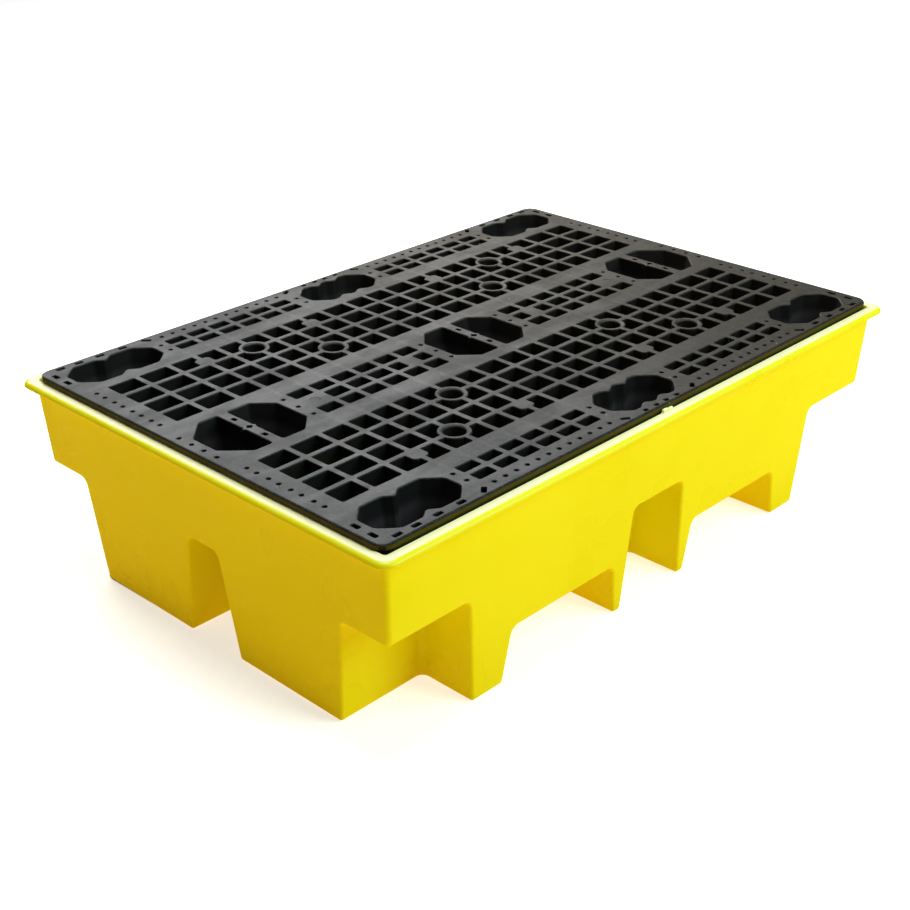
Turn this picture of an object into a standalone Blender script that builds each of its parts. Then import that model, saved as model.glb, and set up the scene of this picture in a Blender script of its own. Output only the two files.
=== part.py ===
"""Spill containment pallet: a moulded sump with a lift-out grating deck.

Units are metres and +Z is up. The origin is on the floor under the middle of the
pallet, and X runs along its long side. There are two pieces. The sump is one
yellow shell that catches and holds the liquid. The deck is one black grating that
stands on nine hollow legs, each on its own raised pad inside the sump.
"""

import math

import bmesh
import bpy
from mathutils import Matrix, Vector

OBJECT_NAME = "spill_containment_pallet"

# Deck plate and its grid of ribs
DECK_LENGTH = 1.200
DECK_WIDTH = 0.810
DECK_TOP = 0.343
DECK_EDGE_HEIGHT = 0.010
DECK_CORNER_RADIUS = 0.022
RIB_DEPTH = 0.030
RIB_INSET = 0.010
RIB_WIDTH = 0.0096

# Openings on one side of the middle, from the middle outwards
COLUMN_WIDTHS = [0.039, 0.047] + [0.0365] * 6 + [0.043, 0.053, 0.050]
FIRST_COLUMN_EDGE = 0.0042
NARROW_COLUMNS = range(2, 8)
LATTICE_ROWS = [0.1138 + 0.0479 * row for row in range(4)]
LATTICE_CELL_HEIGHT = 0.039
CENTRE_ROWS = [-0.0359, 0.0, 0.0359]
CENTRE_CELL_HEIGHT = 0.0267
EDGE_ROWS = [0.3268, 0.3570]
EDGE_CELL_HEIGHT = 0.021
PLAIN_PLATE = 0.006
PLAIN_BANDS = [(0.0717, 0.035), (0.2969, 0.028)]  # middle, and height of the hollows under it

# Hollow legs: half sizes of the pocket at the deck's top face
POCKET_HALF_LENGTH = 0.0825
POCKET_END_X = 0.4885
POCKET_SIDE_Y = 0.3435
SIDE_POCKET_HALF_WIDTH = 0.041
SIDE_POCKET_CHAMFER = 0.026
MIDDLE_POCKET_HALF_LENGTH = 0.0775
AXIS_POCKET_HALF_WIDTH = 0.0665
AXIS_POCKET_CHAMFER = 0.034
NOTCH_HALF_WIDTH = 0.016
NOTCH_DEPTH = 0.010
TWIN_NOTCH_OFFSET = 0.0195
TWIN_NOTCH_DEPTH = 0.008
LEG_WALL = 0.004
LEG_FLOOR = 0.005
FOOT_HALF_LENGTH = 0.062
SIDE_FOOT_HALF_WIDTH = 0.029
AXIS_FOOT_HALF_WIDTH = 0.040

# Hollow divider across the three pockets on the long axis, open at the foot
DIVIDER_WIDTH = 0.020
DIVIDER_FOOT_WIDTH = 0.024
DIVIDER_WALL = 0.003
DIVIDER_HOLE = (0.007, 0.011)
DIVIDER_HOLE_OFFSET = 0.0365
DIAMOND_HALF_DIAGONAL = 0.014
DIAMOND_HOLE_HALF_DIAGONAL = 0.0065
DIAMOND_DEPTH = 0.012

# Small drain holes and slots in the plain margins of the deck
DRAIN = 0.008
SLOT = 0.015
END_DRAIN_X = 0.5765
END_DRAIN_FROM_ROW = 0.011
CUP_DRAIN_X = 0.5845
CUP_DRAIN_ROWS = [0.0145, 0.0449]
CUP_SLOT_ROWS = [0.338, 0.372]
CENTRE_DRAIN_COLUMNS = [0.092, 0.3923]
BESIDE_CUP_COLUMNS = [0.0910, 0.3905]
BESIDE_CUP_ROWS = [0.3283, 0.3552]
LONG_EDGE_Y = 0.3857
LONG_EDGE_DRAINS = [0.113 + 0.0231 * step for step in range(12)]
CORNER_SLOT_Y = 0.3938
CORNER_SLOT_COLUMNS = [0.4416, 0.486, 0.527, 0.5618]
MIDDLE_SLOT_Y = 0.3965
MIDDLE_SLOT_COLUMNS = [0.0122, 0.039]
SLANTED_SLOTS = [(0.3947, 0.3920, 1), (0.0845, 0.3930, -1)]  # place, and which way it slants

# Tube bosses, each on a crossing of ribs, and the moulding gate pads
BOSS_OUTER_RADIUS = 0.026
BOSS_INNER_RADIUS = 0.019
BOSS_CROSSINGS = [(3, 4, 1), (5, 6, 3)]  # columns either side, then the row outside
GATE_WIDTH = 0.030
GATE_HEIGHT = 0.0267
GATE_DEPTH = 0.006
GATE_COLUMNS = [(2, 3), (7, 8)]

# Sump
WALL = 0.006
RIM_TOP = 0.3315
RIM_THICKNESS = 0.008
RIM_HALF = Vector((0.620, 0.430))
RIM_CORNER_RADIUS = 0.024
RIM_EDGE_RADIUS = 0.0035
WALL_TOP_HALF = Vector((0.602, 0.412))
WALL_FLOOR_HALF = Vector((0.585, 0.393))
WALL_CORNER_RADIUS = 0.010
PAD_UNDERSIDE = 0.184
SUMP_FIT_GAP = 0.0003
NIB_SIZE = Vector((0.020, 0.005, 0.0065))
NIB_GAP = 0.0015

# Hollows under the sump: the near and far edges at the floor and at the ceiling
FORK_CEILING = 0.0927
FORK_X_FLOOR = (0.093, 0.355)
FORK_X_CEILING = (0.106, 0.338)
CORNER_FLOOR = Vector((0.421, 0.2895))
CORNER_CEILING = Vector((0.435, 0.3090))
SIDE_SLOT_HALF_FLOOR = 0.075
SIDE_SLOT_HALF_CEILING = 0.062
END_SLOT_HALF_FLOOR = 0.0595
END_SLOT_HALF_CEILING = 0.035
CENTRE_HALF_FLOOR = Vector((0.064, 0.060))
CENTRE_HALF_CEILING = Vector((0.058, 0.041))
OUTSIDE = 0.800  # far enough out to cut through any wall
OVERCUT = 0.020  # how far a cutter passes a face that it opens

ARC_STEPS = 4
BOSS_SEGMENTS = 16


def clear_scene():
    for old in list(bpy.data.objects):
        bpy.data.objects.remove(old, do_unlink=True)


def make_collection(name):
    collection = bpy.data.collections.new(name)
    bpy.context.scene.collection.children.link(collection)
    return collection


def plastic(name, colour, roughness):
    material = bpy.data.materials.new(name)
    material.use_nodes = True
    shader = material.node_tree.nodes["Principled BSDF"]
    shader.inputs["Base Color"].default_value = (*colour, 1.0)
    shader.inputs["Roughness"].default_value = roughness
    shader.inputs["Metallic"].default_value = 0.0
    return material


def new_object(name, bm, collection):
    bmesh.ops.recalc_face_normals(bm, faces=bm.faces)
    mesh = bpy.data.meshes.new(name)
    bm.to_mesh(mesh)
    bm.free()
    made = bpy.data.objects.new(name, mesh)
    collection.objects.link(made)
    return made


def new_cutter(name, bm, cutters):
    cutter = new_object(name, bm, cutters)
    cutter.hide_render = True
    cutter.display_type = "WIRE"
    return cutter


def combine(target, other, operation):
    boolean = target.modifiers.new(f"{operation.lower()} {other.name}", "BOOLEAN")
    boolean.object = other
    boolean.operation = operation
    boolean.solver = "EXACT"


# Outlines, as anticlockwise lists of points

def rounded_rectangle(half, radius):
    points = []
    for quarter, (sign_x, sign_y) in enumerate([(1, 1), (-1, 1), (-1, -1), (1, -1)]):
        centre = Vector((sign_x * (half.x - radius), sign_y * (half.y - radius)))
        for step in range(ARC_STEPS + 1):
            angle = math.pi / 2 * (quarter + step / ARC_STEPS)
            points.append(centre + radius * Vector((math.cos(angle), math.sin(angle))))
    return points


def notched_side(half_length, half_width, chamfer, notches, notch_depth):
    """The far long side of a pocket, from its right chamfer to its left one."""
    points = [Vector((half_length, half_width - chamfer)), Vector((half_length - chamfer, half_width))]
    for place in sorted(notches, reverse=True):
        for offset, depth in [(1.0, 0.0), (0.2, 1.0), (-0.2, 1.0), (-1.0, 0.0)]:
            points.append(Vector((place + offset * NOTCH_HALF_WIDTH, half_width - depth * notch_depth)))
    points += [Vector((chamfer - half_length, half_width)), Vector((-half_length, half_width - chamfer))]
    return points


def pocket_outline(half_length, half_width, chamfer, notches=(), notch_depth=0.0):
    """An octagon whose long sides may have inward notches."""
    far_side = notched_side(half_length, half_width, chamfer, notches, notch_depth)
    return far_side + [-point for point in far_side]


# Solids

def add_box(bm, centre, size):
    box = bmesh.ops.create_cube(bm, size=1.0)
    bmesh.ops.scale(bm, vec=size, verts=box["verts"])
    bmesh.ops.translate(bm, vec=centre, verts=box["verts"])
    return box["verts"]


def add_tapered_box(bm, low, high, z_low, z_high):
    """A box whose floor rectangle is low and whose ceiling rectangle is high."""
    box = bmesh.ops.create_cube(bm, size=2.0)
    for vert in box["verts"]:
        corner_min, corner_max = low if vert.co.z < 0 else high
        vert.co.x = corner_min.x if vert.co.x < 0 else corner_max.x
        vert.co.y = corner_min.y if vert.co.y < 0 else corner_max.y
        vert.co.z = z_low if vert.co.z < 0 else z_high


def add_prism(bm, outline, z_start, z_end, taper=(1.0, 1.0), centre=Vector((0.0, 0.0))):
    """Extrude an outline up or down, scaling its far end about the outline's own middle."""
    base = bm.faces.new([bm.verts.new((p.x + centre.x, p.y + centre.y, z_start)) for p in outline])
    extruded = bmesh.ops.extrude_face_region(bm, geom=[base], use_keep_orig=True)
    far_end = [item for item in extruded["geom"] if isinstance(item, bmesh.types.BMVert)]
    bmesh.ops.translate(bm, vec=(0.0, 0.0, z_end - z_start), verts=far_end)
    about_middle = Matrix.Translation((-centre.x, -centre.y, -z_end))
    bmesh.ops.scale(bm, vec=(taper[0], taper[1], 1.0), space=about_middle, verts=far_end)


def add_cylinder(bm, centre, radius, z_low, z_high):
    placed = Matrix.Translation((centre.x, centre.y, (z_low + z_high) / 2))
    bmesh.ops.create_cone(bm, cap_ends=True, segments=BOSS_SEGMENTS, radius1=radius, radius2=radius,
                          depth=z_high - z_low, matrix=placed)


# Where the deck's features lie

def column_spans():
    """The two edges of each column of openings, on the right of the middle."""
    spans = []
    edge = FIRST_COLUMN_EDGE
    for width in COLUMN_WIDTHS:
        spans.append((edge, edge + width))
        edge += width + RIB_WIDTH
    return spans


def rib_between(inner, outer):
    spans = column_spans()
    return (spans[inner][1] + spans[outer][0]) / 2


def rib_outside_row(row):
    return (LATTICE_ROWS[row - 1] + LATTICE_ROWS[row]) / 2


def mirrored(x, y):
    """The place in all four quarters of the deck."""
    return [Vector((sign_x * x, sign_y * y)) for sign_x in (-1, 1) for sign_y in (-1, 1)]


def leg_kinds():
    """Each kind of leg: its middles, pocket outline sizes, notches and foot width."""
    corner = {
        "middles": mirrored(POCKET_END_X, POCKET_SIDE_Y),
        "half": (POCKET_HALF_LENGTH, SIDE_POCKET_HALF_WIDTH, SIDE_POCKET_CHAMFER),
        "notches": [0.0], "notch_depth": NOTCH_DEPTH, "foot": SIDE_FOOT_HALF_WIDTH}
    side = {
        "middles": [Vector((0.0, -POCKET_SIDE_Y)), Vector((0.0, POCKET_SIDE_Y))],
        "half": (MIDDLE_POCKET_HALF_LENGTH, SIDE_POCKET_HALF_WIDTH, SIDE_POCKET_CHAMFER),
        "notches": [-TWIN_NOTCH_OFFSET, TWIN_NOTCH_OFFSET], "notch_depth": TWIN_NOTCH_DEPTH,
        "foot": SIDE_FOOT_HALF_WIDTH}
    axis = {
        "middles": axis_pocket_middles(),
        "half": (POCKET_HALF_LENGTH, AXIS_POCKET_HALF_WIDTH, AXIS_POCKET_CHAMFER),
        "notches": [], "notch_depth": 0.0, "foot": AXIS_FOOT_HALF_WIDTH}
    return [corner, side, axis]


def axis_pocket_middles():
    return [Vector((x, 0.0)) for x in (-POCKET_END_X, 0.0, POCKET_END_X)]


def foot_level():
    """The underside of the legs, just clear of the pads they stand on."""
    return PAD_UNDERSIDE + WALL + SUMP_FIT_GAP


# Deck

def deck_plate(deck_material, parts):
    bm = bmesh.new()
    half = Vector((DECK_LENGTH / 2, DECK_WIDTH / 2))
    outline = rounded_rectangle(half, DECK_CORNER_RADIUS)
    add_prism(bm, outline, DECK_TOP - DECK_EDGE_HEIGHT, DECK_TOP)
    deck = new_object("deck", bm, parts)
    deck.data.materials.append(deck_material)
    return deck


def rib_slab(cutters):
    """The block under the plate that the ribs are cut from."""
    bm = bmesh.new()
    half = Vector((DECK_LENGTH / 2 - RIB_INSET, DECK_WIDTH / 2 - RIB_INSET))
    outline = rounded_rectangle(half, DECK_CORNER_RADIUS)
    add_prism(bm, outline, DECK_TOP - RIB_DEPTH, DECK_TOP - DECK_EDGE_HEIGHT / 2)
    return new_cutter("rib_slab", bm, cutters)


def leg_solids(cutters):
    bm = bmesh.new()
    for kind in leg_kinds():
        length, width, chamfer = (size + LEG_WALL for size in kind["half"])
        outline = pocket_outline(length, width, chamfer - LEG_WALL / 2, kind["notches"], kind["notch_depth"])
        taper = (FOOT_HALF_LENGTH / length, kind["foot"] / width)
        for middle in kind["middles"]:
            add_prism(bm, outline, DECK_TOP - DECK_EDGE_HEIGHT / 2, foot_level(), taper, middle)
    return new_cutter("leg_solids", bm, cutters)


def leg_pockets(cutters):
    bm = bmesh.new()
    for kind in leg_kinds():
        length, width, chamfer = kind["half"]
        outline = pocket_outline(length, width, chamfer, kind["notches"], kind["notch_depth"])
        taper = ((FOOT_HALF_LENGTH - LEG_WALL) / length, (kind["foot"] - LEG_WALL) / width)
        for middle in kind["middles"]:
            add_prism(bm, outline, DECK_TOP, foot_level() + LEG_FLOOR, taper, middle)
            add_prism(bm, outline, DECK_TOP + OVERCUT, DECK_TOP, centre=middle)
    bmesh.ops.remove_doubles(bm, verts=bm.verts, dist=1e-5)
    remove_inner_faces(bm)
    return new_cutter("leg_pockets", bm, cutters)


def remove_inner_faces(bm):
    """Two prisms welded end to end leave their shared ends inside: take those away."""
    seams = [face for face in bm.faces if all(len(edge.link_faces) > 2 for edge in face.edges)]
    bmesh.ops.delete(bm, geom=seams, context="FACES_ONLY")


def column_cells(bm, columns, rows, cell_height, skip=()):
    z_low = DECK_TOP - RIB_DEPTH - OVERCUT
    z_high = DECK_TOP + OVERCUT
    for column in columns:
        left, right = column_spans()[column]
        for side in (-1, 1):
            for row in rows:
                if (column, row) in skip:
                    continue
                centre = (side * (left + right) / 2, row, (z_low + z_high) / 2)
                add_box(bm, centre, (right - left, cell_height, z_high - z_low))


def grid_cells(cutters):
    bm = bmesh.new()
    both_sides = [sign * row for sign in (-1, 1) for row in LATTICE_ROWS]
    column_cells(bm, range(len(COLUMN_WIDTHS)), both_sides, LATTICE_CELL_HEIGHT)
    blocked = [(NARROW_COLUMNS[-1], CENTRE_ROWS[1])]
    column_cells(bm, NARROW_COLUMNS, CENTRE_ROWS, CENTRE_CELL_HEIGHT, skip=blocked)
    edge_rows = [sign * row for sign in (-1, 1) for row in EDGE_ROWS]
    column_cells(bm, NARROW_COLUMNS, edge_rows, EDGE_CELL_HEIGHT)
    return new_cutter("grid_cells", bm, cutters)


def plain_band_hollows(cutters):
    """Hollows under the plain bands, so that ribs carry on beneath them."""
    bm = bmesh.new()
    z_low = DECK_TOP - RIB_DEPTH - OVERCUT
    z_high = DECK_TOP - PLAIN_PLATE
    for left, right in [column_spans()[column] for column in NARROW_COLUMNS]:
        for row, height in PLAIN_BANDS:
            for place in mirrored((left + right) / 2, row):
                add_box(bm, (place.x, place.y, (z_low + z_high) / 2), (right - left, height, z_high - z_low))
    return new_cutter("plain_band_hollows", bm, cutters)


def quarter_drains():
    """The small drain holes of one quarter of the deck: place, size and turn."""
    hole = (DRAIN, DRAIN)
    flat_slot = (SLOT, DRAIN)
    end_rows = [row + side * END_DRAIN_FROM_ROW for row in LATTICE_ROWS for side in (-1, 1)]
    drains = [(END_DRAIN_X, row, hole, 0.0) for row in end_rows]
    drains += [(CUP_DRAIN_X, row, hole, 0.0) for row in CUP_DRAIN_ROWS]
    drains += [(CUP_DRAIN_X, row, (DRAIN, SLOT), 0.0) for row in CUP_SLOT_ROWS]
    drains += [(column, row, hole, 0.0) for column in CENTRE_DRAIN_COLUMNS for row in CENTRE_ROWS[1:]]
    drains += [(column, row, hole, 0.0) for column in BESIDE_CUP_COLUMNS for row in BESIDE_CUP_ROWS]
    drains += [(column, LONG_EDGE_Y, hole, 0.0) for column in LONG_EDGE_DRAINS]
    drains += [(column, CORNER_SLOT_Y, flat_slot, 0.0) for column in CORNER_SLOT_COLUMNS]
    drains += [(column, MIDDLE_SLOT_Y, hole, 0.0) for column in MIDDLE_SLOT_COLUMNS]
    drains += [(x, y, flat_slot, way * math.pi / 4) for x, y, way in SLANTED_SLOTS]
    return drains


def drain_holes(cutters):
    bm = bmesh.new()
    z_low = DECK_TOP - RIB_DEPTH - OVERCUT
    z_high = DECK_TOP + OVERCUT
    for x, y, size, turn in quarter_drains():
        places = mirrored(x, y) if y else mirrored(x, y)[::2]
        for place in places:
            verts = add_box(bm, (0.0, 0.0, (z_low + z_high) / 2), (*size, z_high - z_low))
            turned = Matrix.Rotation(math.copysign(turn, turn * place.x * place.y), 3, "Z")
            bmesh.ops.rotate(bm, cent=(0.0, 0.0, 0.0), matrix=turned, verts=verts)
            bmesh.ops.translate(bm, vec=(place.x, place.y, 0.0), verts=verts)
    return new_cutter("drain_holes", bm, cutters)


def boss_places():
    places = []
    for inner, outer, row in BOSS_CROSSINGS:
        places += mirrored(rib_between(inner, outer), rib_outside_row(row))
    return places


def bosses(cutters):
    bm = bmesh.new()
    for place in boss_places():
        add_cylinder(bm, place, BOSS_OUTER_RADIUS, DECK_TOP - RIB_DEPTH, DECK_TOP)
    return new_cutter("bosses", bm, cutters)


def gate_pads(cutters):
    """Flat pads that hide moulding gates, each beside a rib of the lattice or the centre grid."""
    bm = bmesh.new()
    z = DECK_TOP - GATE_DEPTH / 2
    for inner, outer in GATE_COLUMNS:
        rib_edge = rib_outside_row(3)
        for place in mirrored(rib_between(inner, outer), rib_edge + GATE_HEIGHT / 2):
            add_box(bm, (place.x, place.y, z), (GATE_WIDTH, GATE_HEIGHT, GATE_DEPTH))
    centre_rib = rib_between(*GATE_COLUMNS[0])
    for side in (-1, 1):
        add_box(bm, (side * centre_rib, 0.0, z), (GATE_WIDTH, CENTRE_CELL_HEIGHT + RIB_WIDTH, GATE_DEPTH))
    return new_cutter("gate_pads", bm, cutters)


def divider_prisms(name, foot_half_width, top_half_width, z_low, z_high, half_lengths, cutters):
    """A cross bar in each axis pocket, or the hollow inside it; lengths are at the foot and the top."""
    bm = bmesh.new()
    for middle in axis_pocket_middles():
        foot = Vector((foot_half_width, half_lengths[0]))
        top = Vector((top_half_width, half_lengths[1]))
        add_tapered_box(bm, (middle - foot, middle + foot), (middle - top, middle + top), z_low, z_high)
    return new_cutter(name, bm, cutters)


def dividers(cutters):
    """The bars end inside the leg walls, whose slope they follow."""
    into_wall = LEG_WALL / 2
    half_lengths = (AXIS_FOOT_HALF_WIDTH - into_wall, AXIS_POCKET_HALF_WIDTH + into_wall)
    return divider_prisms("dividers", DIVIDER_FOOT_WIDTH / 2, DIVIDER_WIDTH / 2, foot_level(), DECK_TOP,
                          half_lengths, cutters)


def divider_hollows(cutters):
    half_lengths = (AXIS_FOOT_HALF_WIDTH - LEG_WALL - DIVIDER_WALL, AXIS_POCKET_HALF_WIDTH - DIVIDER_WALL)
    foot_half_width = DIVIDER_FOOT_WIDTH / 2 - DIVIDER_WALL
    top_half_width = DIVIDER_WIDTH / 2 - DIVIDER_WALL
    return divider_prisms("divider_hollows", foot_half_width, top_half_width, foot_level() - OVERCUT,
                          DECK_TOP - PLAIN_PLATE, half_lengths, cutters)


def diamonds(name, half_diagonal, z_low, z_high, cutters):
    bm = bmesh.new()
    side = half_diagonal * math.sqrt(2)
    quarter_turn = Matrix.Rotation(math.pi / 4, 3, "Z")
    for middle in axis_pocket_middles():
        verts = add_box(bm, (0.0, 0.0, (z_low + z_high) / 2), (side, side, z_high - z_low))
        bmesh.ops.rotate(bm, cent=(0.0, 0.0, 0.0), matrix=quarter_turn, verts=verts)
        bmesh.ops.translate(bm, vec=(middle.x, middle.y, 0.0), verts=verts)
    return new_cutter(name, bm, cutters)


def divider_and_boss_holes(cutters):
    bm = bmesh.new()
    z_low = DECK_TOP - RIB_DEPTH - OVERCUT
    z_high = DECK_TOP + OVERCUT
    for middle in axis_pocket_middles():
        for side in (-1, 1):
            centre = (middle.x, side * DIVIDER_HOLE_OFFSET, (z_low + z_high) / 2)
            add_box(bm, centre, (*DIVIDER_HOLE, z_high - z_low))
    for place in boss_places():
        add_cylinder(bm, place, BOSS_INNER_RADIUS, z_low, z_high)
    return new_cutter("divider_and_boss_holes", bm, cutters)


def diamond_bosses(cutters):
    return diamonds("diamond_bosses", DIAMOND_HALF_DIAGONAL, DECK_TOP - DIAMOND_DEPTH, DECK_TOP, cutters)


def diamond_holes(cutters):
    return diamonds("diamond_holes", DIAMOND_HOLE_HALF_DIAGONAL, DECK_TOP - RIB_DEPTH, DECK_TOP + OVERCUT, cutters)


def build_deck(parts, cutters):
    deck = deck_plate(plastic("deck_black", (0.045, 0.045, 0.048), 0.5), parts)
    combine(deck, rib_slab(cutters), "UNION")
    combine(deck, leg_solids(cutters), "UNION")
    combine(deck, leg_pockets(cutters), "DIFFERENCE")
    combine(deck, grid_cells(cutters), "DIFFERENCE")
    combine(deck, plain_band_hollows(cutters), "DIFFERENCE")
    combine(deck, bosses(cutters), "UNION")
    combine(deck, gate_pads(cutters), "UNION")
    combine(deck, dividers(cutters), "UNION")
    combine(deck, divider_hollows(cutters), "DIFFERENCE")
    combine(deck, diamond_bosses(cutters), "UNION")
    combine(deck, divider_and_boss_holes(cutters), "DIFFERENCE")
    combine(deck, diamond_holes(cutters), "DIFFERENCE")
    combine(deck, drain_holes(cutters), "DIFFERENCE")
    return deck


# Sump

def add_hollow(bm, low, high, ceiling, grow):
    """One hollow under the sump, or, with grow, the same hollow with the wall around it."""
    margin = Vector((grow, grow))
    low = (low[0] - margin, low[1] + margin)
    high = (high[0] - margin, high[1] + margin)
    slope = (Vector(low[0]) - Vector(high[0])) / ceiling
    slope_far = (Vector(low[1]) - Vector(high[1])) / ceiling
    low = (low[0] + slope * OVERCUT, low[1] + slope_far * OVERCUT)
    add_tapered_box(bm, low, high, -OVERCUT, ceiling + grow)


def mirror_box(low, high, sign_x, sign_y):
    corners = [Vector((sign_x * corner.x, sign_y * corner.y)) for corner in (low, high)]
    smallest = Vector((min(c.x for c in corners), min(c.y for c in corners)))
    largest = Vector((max(c.x for c in corners), max(c.y for c in corners)))
    return smallest, largest


def hollow_list():
    """Every hollow as its floor rectangle, ceiling rectangle and ceiling height."""
    out = Vector((OUTSIDE, OUTSIDE))
    hollows = []
    for sign_x in (-1, 1):
        fork = [mirror_box(Vector((x[0], -OUTSIDE)), Vector((x[1], OUTSIDE)), sign_x, 1)
                for x in (FORK_X_FLOOR, FORK_X_CEILING)]
        hollows.append((*fork, FORK_CEILING))
        for sign_y in (-1, 1):
            corner = [mirror_box(near, out, sign_x, sign_y) for near in (CORNER_FLOOR, CORNER_CEILING)]
            hollows.append((*corner, PAD_UNDERSIDE))
    for sign in (-1, 1):
        side = [mirror_box(Vector((-half, near.y)), Vector((half, OUTSIDE)), 1, sign)
                for half, near in ((SIDE_SLOT_HALF_FLOOR, CORNER_FLOOR), (SIDE_SLOT_HALF_CEILING, CORNER_CEILING))]
        end = [mirror_box(Vector((near.x, -half)), Vector((OUTSIDE, half)), sign, 1)
               for half, near in ((END_SLOT_HALF_FLOOR, CORNER_FLOOR), (END_SLOT_HALF_CEILING, CORNER_CEILING))]
        hollows.append((*side, PAD_UNDERSIDE))
        hollows.append((*end, PAD_UNDERSIDE))
    centre = [(-half, half) for half in (CENTRE_HALF_FLOOR, CENTRE_HALF_CEILING)]
    hollows.append((*centre, PAD_UNDERSIDE))
    return hollows


def hollows_under(name, grow, cutters):
    """All hollows, as one cutter object for each, so that they may overlap."""
    made = []
    for number, (low, high, ceiling) in enumerate(hollow_list()):
        bm = bmesh.new()
        add_hollow(bm, low, high, ceiling, grow)
        made.append(new_cutter(f"{name}_{number}", bm, cutters))
    return made


def sump_block(sump_material, parts):
    bm = bmesh.new()
    outline = rounded_rectangle(WALL_TOP_HALF, WALL_CORNER_RADIUS)
    taper = (WALL_FLOOR_HALF.x / WALL_TOP_HALF.x, WALL_FLOOR_HALF.y / WALL_TOP_HALF.y)
    add_prism(bm, outline, RIM_TOP - RIM_THICKNESS / 2, 0.0, taper)
    sump = new_object("sump", bm, parts)
    sump.data.materials.append(sump_material)
    return sump


def rim_flange(cutters):
    bm = bmesh.new()
    add_prism(bm, rounded_rectangle(RIM_HALF, RIM_CORNER_RADIUS), RIM_TOP - RIM_THICKNESS, RIM_TOP)
    flange = new_cutter("rim_flange", bm, cutters)
    bevel = flange.modifiers.new("rounded edge", "BEVEL")
    bevel.width = RIM_EDGE_RADIUS
    bevel.segments = 2
    bevel.angle_limit = math.radians(60)
    return flange


def rim_nibs(cutters):
    """A locating nib on the rim beside the middle of each long side of the deck."""
    bm = bmesh.new()
    sunk = RIM_THICKNESS / 2
    size = NIB_SIZE + Vector((0.0, 0.0, sunk))
    for side in (-1, 1):
        y = side * (DECK_WIDTH / 2 + NIB_GAP + NIB_SIZE.y / 2)
        add_box(bm, (0.0, y, RIM_TOP - sunk + size.z / 2), size)
    return new_cutter("rim_nibs", bm, cutters)


def basin(cutters):
    """The space inside the sump, down to its floor and around every hollow."""
    bm = bmesh.new()
    wall = Vector((WALL, WALL))
    top_half = WALL_TOP_HALF - wall
    slope = (WALL_TOP_HALF - WALL_FLOOR_HALF) / RIM_TOP
    high = top_half + slope * OVERCUT
    low = top_half - slope * (RIM_TOP - WALL)
    outline = rounded_rectangle(high, WALL_CORNER_RADIUS - WALL)
    add_prism(bm, outline, RIM_TOP + OVERCUT, WALL, (low.x / high.x, low.y / high.y))
    space = new_cutter("basin", bm, cutters)
    for hollow in hollows_under("walled_hollow", WALL, cutters):
        combine(space, hollow, "DIFFERENCE")
    return space


def build_sump(parts, cutters):
    sump = sump_block(plastic("sump_yellow", (0.85, 0.68, 0.02), 0.35), parts)
    combine(sump, rim_flange(cutters), "UNION")
    combine(sump, rim_nibs(cutters), "UNION")
    for hollow in hollows_under("hollow", 0.0, cutters):
        combine(sump, hollow, "DIFFERENCE")
    combine(sump, basin(cutters), "DIFFERENCE")
    return sump


def main():
    clear_scene()
    parts = make_collection(OBJECT_NAME)
    cutters = make_collection("cutters")
    build_sump(parts, cutters)
    build_deck(parts, cutters)


main()
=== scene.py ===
"""The looks of the spill containment pallet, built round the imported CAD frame.

Units are metres, +Z is up, and X runs along the pallet's long side. The two CAD pieces
are replaced by two finely modelled ones of the same size: a yellow sump with moulded
radii, and a black grating deck whose every opening has a rounded mouth. Each rides on
its own CAD body. The script then lights them on a pale floor.
"""

import math

import bmesh
import bpy
from mathutils import Matrix, Quaternion, Vector
from mathutils.geometry import delaunay_2d_cdt


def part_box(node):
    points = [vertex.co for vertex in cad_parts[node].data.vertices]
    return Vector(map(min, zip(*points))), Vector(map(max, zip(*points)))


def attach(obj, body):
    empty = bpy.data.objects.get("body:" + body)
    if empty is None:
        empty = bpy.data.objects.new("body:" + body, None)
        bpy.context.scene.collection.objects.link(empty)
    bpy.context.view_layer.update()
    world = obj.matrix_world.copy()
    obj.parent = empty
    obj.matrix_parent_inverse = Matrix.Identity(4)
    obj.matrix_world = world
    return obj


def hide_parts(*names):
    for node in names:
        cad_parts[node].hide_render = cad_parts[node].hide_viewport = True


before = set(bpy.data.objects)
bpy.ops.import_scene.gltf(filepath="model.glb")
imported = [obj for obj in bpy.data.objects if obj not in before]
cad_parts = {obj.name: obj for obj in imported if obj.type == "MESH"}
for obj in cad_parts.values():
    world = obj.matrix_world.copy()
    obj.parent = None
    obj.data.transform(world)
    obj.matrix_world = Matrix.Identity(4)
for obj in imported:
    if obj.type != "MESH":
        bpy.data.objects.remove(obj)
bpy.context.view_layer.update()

DECK_LOW, DECK_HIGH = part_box("deck")
SUMP_LOW, SUMP_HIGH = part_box("sump")
MM = 0.001

# Deck plate
DECK_TOP = DECK_HIGH.z
FOOT_LEVEL = DECK_LOW.z
DECK_CORNER = 22 * MM
DECK_SKIRT = 9.8 * MM
DECK_EDGE_ROUNDING = 2.6 * MM
RIB_DEPTH = 30 * MM
GRID_HALF = Vector((591, 401.5)) * MM
GRID_CORNER = 18 * MM
PLATE = 6 * MM
UNDERSIDE = DECK_TOP - RIB_DEPTH

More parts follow.
